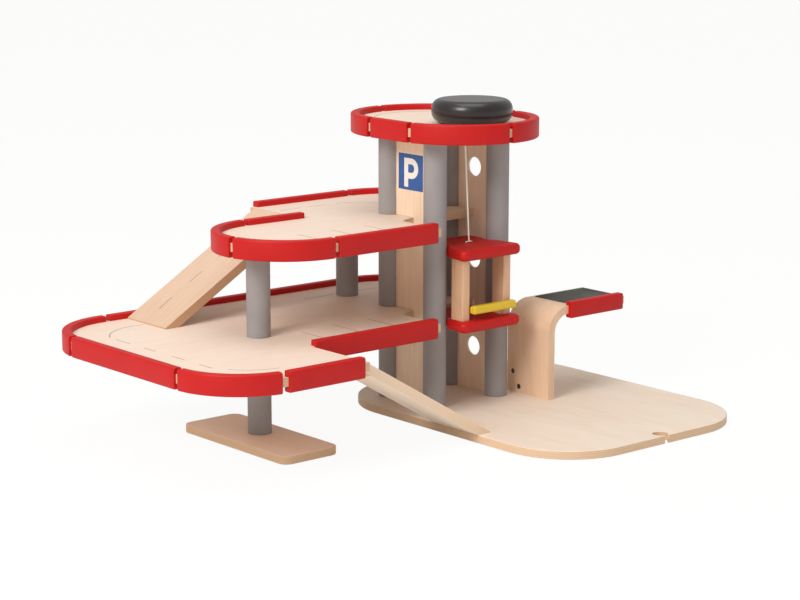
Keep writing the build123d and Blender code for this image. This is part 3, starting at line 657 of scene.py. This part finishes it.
# All of this table is in millimetres and degrees. g is half the gap between two lengths,
# and rc, r2 and r3 are the bends of the rails' middle lines on the three decks. The angles
# are what g and the other short straight lengths take up of those bends.
g = 2.75
rc, r2, r3 = 84.5, 82.5, 89.5
gc, g2, g3, bend, front, on, off = (
    np.degrees(np.arcsin(length / r)) for length, r in
    ((g, rc), (g, r2), (g, r3), (9.0, rc), (11.5, rc), (11.8, r3), (3.4, r3))
)
Z1, Z2, Z3 = 120 * MM, 235 * MM, 350 * MM  # the middle of each deck's edge
back_corner = arc_points(-60, 50, rc, 90 + gc, 90 - 2 * gc)
right_run = line_points(-60 + g, 134.5, 25, 134.5)
rail_paths = {
    "lower_rail_corner_left": (Z1, [line_points(-144.5, -322 - g, -144.5, -330),
                                    arc_points(-60, -330, rc, 180, 90 - bend - gc)]),
    "lower_rail_left": (Z1, [arc_points(-60, -330, rc, 270 - bend + gc, bend - gc),
                             line_points(-60, -414.5, 141 - g, -414.5)]),
    "lower_rail_corner_front": (Z1, [arc_points(141, -330, rc, 270 + gc,
                                                90 - gc - front)]),
    "lower_rail_front": (Z1, [line_points(225.5, -333.5, 225.5, -229)]),
    "lower_rail_inner": (Z1, [line_points(124.5, -218, 124.5, -34)]),
    "lower_rail_back": (Z1, [line_points(-144.5, -322 + g, -144.5, 50 - g)]),
    "lower_rail_corner_back": (Z1, [back_corner]),
    "lower_rail_right": (Z1, [right_run]),
    "middle_rail_end_back": (Z2, [arc_points(42, -192, r2, 180 + g2, 96 - 2 * g2)]),
    "middle_rail_end_front": (Z2, [arc_points(42, -192, r2, 276 + g2, 84 - g2),
                                   line_points(124.5, -192, 124.5, -186 - g)]),
    "middle_rail_front": (Z2, [line_points(124.5, -186 + g, 124.5, -34)]),
    "middle_rail_inner": (Z2, [line_points(-40.5, -192 + g, -40.5, -105)]),
    "middle_rail_back": (Z2, [line_points(-144.5, -98, -144.5, 50 - g)]),
    "middle_rail_corner_back": (Z2, [back_corner]),
    "middle_rail_right": (Z2, [right_run]),
    "top_rail_left_front": (Z3, [arc_points(12, 51, r3, 180 + g3, 90 - 2 * g3)]),
    "top_rail_front": (Z3, [line_points(14.6, -38.5, 72, -38.5),
                            arc_points(72, 51, r3, 270, on - g3)]),
    "top_rail_right_front": (Z3, [arc_points(72, 51, r3, 270 + on + g3,
                                             90 - on - off - 2 * g3)]),
    "top_rail_right_back": (Z3, [arc_points(72, 51, r3, g3 - off, 90 + off - 2 * g3)]),
    "top_rail_back": (Z3, [line_points(72 - g, 140.5, 12 + g, 140.5)]),
    "top_rail_left_back": (Z3, [arc_points(12, 51, r3, 90 + g3, 90 - 2 * g3)]),
}

# %% Rails
rail_paths["bridge_rail"] = (Z1, [line_points(148.5, 164, 148.5, 255)])
for name, (z, runs) in rail_paths.items():
    high = BRIDGE_RAIL_H if name == "bridge_rail" else RAIL_H
    rings = rail_rings(np.concatenate(runs), z, RAIL_T, high)
    dress(tubes_mesh(name + "_strip", [rings], 40), red_paint, "garage", name)
print("rails", len(rail_paths))

# %% [markdown]
# ## The winding knob
# A thick turned disc with a fully rounded rim, stained nearly black. Its rim is a quarter
# of an ellipse above and another one, a little narrower, below.

# %% Knob
def knob_profile():
    """(r, z) from the middle of the underside, round the rim, to the middle of the top."""
    low, top, rim = 357.5, 385.0, 49.0
    round_h, under_w, over_w = 12, 10, 11  # the two roundings' height and widths
    a = np.linspace(-np.pi / 2, 0, 14)
    b = np.linspace(0, np.pi / 2, 18)
    under = np.stack([rim - under_w + under_w * np.cos(a),
                      low + round_h + round_h * np.sin(a)], 1)
    over = np.stack([rim - over_w + over_w * np.cos(b),
                     top - round_h + round_h * np.sin(b)], 1)
    recess = [(12.6, low + 9.5), (18.6, low + 9.5), (19.0, low + 9.0), (19.0, low + 0.4),
              (19.4, low)]
    crown = [(28.0, top), (18.0, top), (8.0, top), (2.0, top), (0.4, top)]
    return np.array(recess + under.tolist() + over.tolist() + crown) * MM


knob = turned("knob_disc", (92.5 * MM, 51 * MM), knob_profile(), 128)
dress(knob, knob_stain, "winch", "winding_knob")

# %% [markdown]
# ## Printed road lines
# Thin grey lines are printed on the decks and ramp. They are real bands a few hundredths
# of a millimetre thick that lie on the wood, so they also show in a plain mesh.

# %% Bands
def band(name, paths, width, normal, thick=0.06 * MM):
    """Each path becomes a flat strip: its points go width / 2 to both sides, across the
    path and the surface's normal, and thick above it."""
    n = np.asarray(normal, float) / np.linalg.norm(normal)
    strips = []
    for p in paths:
        across = np.cross(directions(p), n) * width / 2
        strips.append(np.stack([p - across, p + across, p + across + n * thick,
                                p - across + n * thick], 1))
    piece = tubes_mesh(name, strips, 20)
    mend(piece.data)
    return piece


def level(points, z):
    """2D points, in metres, put at height z."""
    return np.column_stack([points, np.full(len(points), z)])


def rule(*xy):
    """A thin straight line between two points."""
    return line_points(*xy, step=20)


# The runs are in millimetres on each deck: the curves and dashes of the lanes, and the
# short lines between the parking bays.
LINE_WIDTH = 1.1 * MM
deck1 = [arc_points(-37, -313, 62, 180, 66), arc_points(124.5, -309, 61, 270 + 31, 55)]
deck1 += [rule(x0, -370.5, x1, -370.5)
          for x0, x1 in ((-49.5, -20.1), (9.2, 31.5), (63.2, 88.8), (115.5, 139.8))]
deck1 += [rule(56, -182.3, 96, -182.3), rule(47.2, -128.8, 98.2, -128.8),
          rule(48, -75.5, 98, -75.5)]
deck1 += [rule(-98, -312, -98, -300), rule(-96, -60, -96, 40),
          arc_points(-46, 40, 50, 90, 90)]
deck2 = [rule(52, y, x1, y) for y, x1 in ((-184, 95.5), (-134, 94.5), (-84, 90))]
deck2 += [arc_points(-50, -9, 52, 112, 62), rule(-102, -92, -102, -60),
          rule(-102, -46, -102, -20)]
deck3 = [arc_points(12, 51, 66, 96, 168), rule(13, -15, 34, -15), rule(13, 117, 34, 117)]
for name, runs, z in (("lower_lines", deck1, 125 * MM), ("middle_lines", deck2, 240 * MM),
                      ("top_lines", deck3, 355 * MM)):
    lines = band(name, [level(run, z) for run in runs], LINE_WIDTH, (0, 0, 1))
    dress(lines, line_grey, "garage")

slope = RISE / RUN
DASH, RAMP_TOP_Y, RAMP_TOP_Z, DASH_X = 19.4, -104, 240, -104.0
ramp_runs = []
for y0 in (-141, -184.5, -228.4, -272.9):
    y = np.linspace(y0, y0 + DASH, 4)
    z = RAMP_TOP_Z + (y - RAMP_TOP_Y) * slope
    ramp_runs.append(np.stack([np.full(4, DASH_X), y, z], 1) * MM)
ramp_lines = band("ramp_lines", ramp_runs, LINE_WIDTH, (0.0, -slope, 1.0))
dress(ramp_lines, line_grey, "garage")

# %% [markdown]
# ## The parking sign
# A blue square with the usual parking letter, printed on the wall under the top deck. The
# letter is two bands: a stem, and a bowl that runs out, round and back.

# %% Sign
OUT_OF_WALL = (0, -1, 0)
SIGN_THICK, LETTER_THICK, STROKE = 0.12 * MM, 0.08 * MM, 7.3 * MM
sign_face = -1.5 * MM


def upright(x, z0, z1):
    """Three points up a line on the wall, in millimetres."""
    return np.array([[x, 0, z0], [x, 0, (z0 + z1) / 2], [x, 0, z1]])


sign = band("sign_plate", [upright(41.0, 273.0, 317.0) * MM + [0, sign_face, 0]], 45 * MM,
            OUT_OF_WALL, SIGN_THICK)
dress(sign, sign_blue, "garage")


def bowl(cx, cz, out, r):
    """Right out, half a circle round and back, in the plane of the wall."""
    a = np.radians(np.linspace(90, -90, 22))
    arc = np.stack([cx + out + r * np.cos(a), np.zeros(22), cz + r * np.sin(a)], 1)
    start = np.array([[cx, 0, cz + r], [cx + out * 0.6, 0, cz + r]])
    end = np.array([[cx + out * 0.6, 0, cz - r], [cx, 0, cz - r]])
    return np.concatenate([start, arc, end])


letter = [p * MM + [0, sign_face - SIGN_THICK, 0]
          for p in (upright(32.7, 276.5, 311.8), bowl(36.35, 299.4, 6.05, 8.8))]
glyph = band("sign_letter", letter, STROKE, OUT_OF_WALL, LETTER_THICK)
dress(glyph, sign_cream, "garage")

# %% [markdown]
# ## The ribbed mat
# The bridge carries a dark ribbed mat that stops the cars from slipping. Its ribs are a
# wave across a grid: z = height times the size of a sine, without its sign, along Y.

# %% Mat ribs
MAT_FOOT, MAT_TOP = 125.05 * MM, 125.5 * MM


def ribbed_sheet(name, xs, ys, rib, pitch, cols=4):
    """A grid over x and y. Its top rises by rib |sin(pi y / pitch)|, its rim goes down."""
    y = np.arange(ys[0], ys[1], pitch / 8)
    top = MAT_TOP + rib * np.abs(np.sin(np.pi * (y - ys[0]) / pitch))
    yy = np.concatenate([[y[0]], y, [y[-1]]])
    zz = np.concatenate([[MAT_FOOT], top, [MAT_FOOT]])
    rows = len(yy)
    rings = np.empty((rows, cols, 3))
    rings[..., 0] = np.linspace(xs[0], xs[1], cols)
    rings[..., 1] = yy[:, None]
    rings[..., 2] = zz[:, None]
    faces = grid_faces(rows, cols, round_again=False)
    under = rings.copy()
    under[..., 2] = MAT_FOOT
    n = rows * cols
    points = np.concatenate([rings.reshape(-1, 3), under.reshape(-1, 3)])
    faces += [[i + n for i in f[::-1]] for f in faces]
    for r in range(rows - 1):
        a, b = r * cols, (r + 1) * cols
        faces.append([a, b, b + n, a + n])
        faces.append([b + cols - 1, a + cols - 1, a + cols - 1 + n, b + cols - 1 + n])
    piece = put_mesh(name, points, faces, 25)
    mend(piece.data, weld=0.0001 * MM)
    return piece


mat = ribbed_sheet("ribbed_mat", (80 * MM, 136 * MM), (172 * MM, 257 * MM), rib=0.85 * MM,
                   pitch=2.6 * MM)
dress(mat, mat_rubber, "garage", "bridge_mat")

# %% [markdown]
# ## The stitch on the roof
# The cord comes up through the lift's roof and is knotted in a short double stitch, two
# strands side by side.

# %% Cord knot
ROOF_TOP, STITCH_RISE, STITCH_HALF, STRAND_GAP, STRAND_R = 209.82, 0.9, 6.0, 0.55, 0.62
t = np.linspace(0, 1, 48)
strands = []
for side in (-1, 1):
    line = np.stack([88.5 + side * STRAND_GAP * np.cos(np.pi * (t - 0.5)),
                     51 + STITCH_HALF * (2 * t - 1),
                     ROOF_TOP + STITCH_RISE * np.sin(np.pi * t) ** 0.6], 1) * MM
    # Both ends of a strand grow thin where it dives into the roof.
    thin = STRAND_R * MM * np.minimum(1, 0.35 + 6 * np.minimum(t, 1 - t))[:, None]
    strands.append(strand_rings(line, thin, 14, upright=(0.0, 0.0, 1.0)))
dress(tubes_mesh("roof_stitch", strands, 60), cord_cotton, "lift", "cord_knot")

# %% [markdown]
# ## Floor and light
# A pale floor and soft light from the front left, as in the photograph. The floor shows
# itself white to the camera and keeps only a trace of a soft shadow.

# %% Floor
floor_mesh = bpy.data.meshes.new("floor")
SPAN = 14.0
floor_mesh.from_pydata([(-SPAN, -SPAN, 0), (SPAN, -SPAN, 0), (SPAN, SPAN, 0),
                        (-SPAN, SPAN, 0)], [], [(0, 1, 2, 3)])
floor = bpy.data.objects.new("floor", floor_mesh)
bpy.context.scene.collection.objects.link(floor)
floor.location.z = -0.3 * MM
white = bpy.data.materials.new("floor_white")
white.use_nodes = True
white.node_tree.nodes.clear()
b = Board(white.node_tree)
matt = b.add("ShaderNodeBsdfDiffuse", Color=(0.93, 0.93, 0.92, 1.0))
glow = b.add("ShaderNodeEmission", Color=(1.0, 1.0, 0.996, 1.0), Strength=1.0)
rays = b.add("ShaderNodeLightPath")
seen = b.math("MAXIMUM", rays.outputs["Is Camera Ray"],
              b.math("MAXIMUM", rays.outputs["Is Glossy Ray"],
                     rays.outputs["Is Transmission Ray"]))
GLOW_SHARE = 0.93  # the rest is lit by the lamps, and carries the soft shadow
share = b.math("MULTIPLY", seen, GLOW_SHARE)
blend_node = b.add("ShaderNodeMixShader", i0=share)
b.tree.links.new(matt.outputs[0], blend_node.inputs[1])
b.tree.links.new(glow.outputs[0], blend_node.inputs[2])
out = b.add("ShaderNodeOutputMaterial")
b.tree.links.new(blend_node.outputs[0], out.inputs[0])
floor_mesh.materials.append(white)

# %% Light
world = bpy.data.worlds.new("studio")
world.use_nodes = True
sky = world.node_tree.nodes["Background"]
sky.inputs["Color"].default_value = (1.0, 0.985, 0.97, 1.0)
b = Board(world.node_tree)
# The sky lights the scene at half strength and is white where the camera sees it.
sight = b.add("ShaderNodeLightPath").outputs["Is Camera Ray"]
power = b.add("ShaderNodeMapRange", i0=sight, i3=0.55, i4=1.0)
world.node_tree.links.new(power.outputs[0], sky.inputs["Strength"])
bpy.context.scene.world = world


def soft_lamp(name, place, target, size, power, colour=(1, 1, 1)):
    """A square area lamp at place that faces target."""
    light = bpy.data.lights.new(name, "AREA")
    light.shape, light.size, light.energy, light.color = "SQUARE", size, power, colour
    lamp = bpy.data.objects.new(name, light)
    bpy.context.scene.collection.objects.link(lamp)
    lamp.location = place
    lamp.rotation_euler = (Vector(target) - Vector(place)).to_track_quat("-Z", "Y").to_euler()


middle = (0.05, -0.08, 0.15)
soft_lamp("key", (0.7, -2.6, 2.0), middle, 1.2, 60.0, (1.0, 0.985, 0.97))
soft_lamp("top", (0.2, -0.2, 2.6), middle, 1.8, 22.0)

bpy.context.scene.view_settings.view_transform = "Standard"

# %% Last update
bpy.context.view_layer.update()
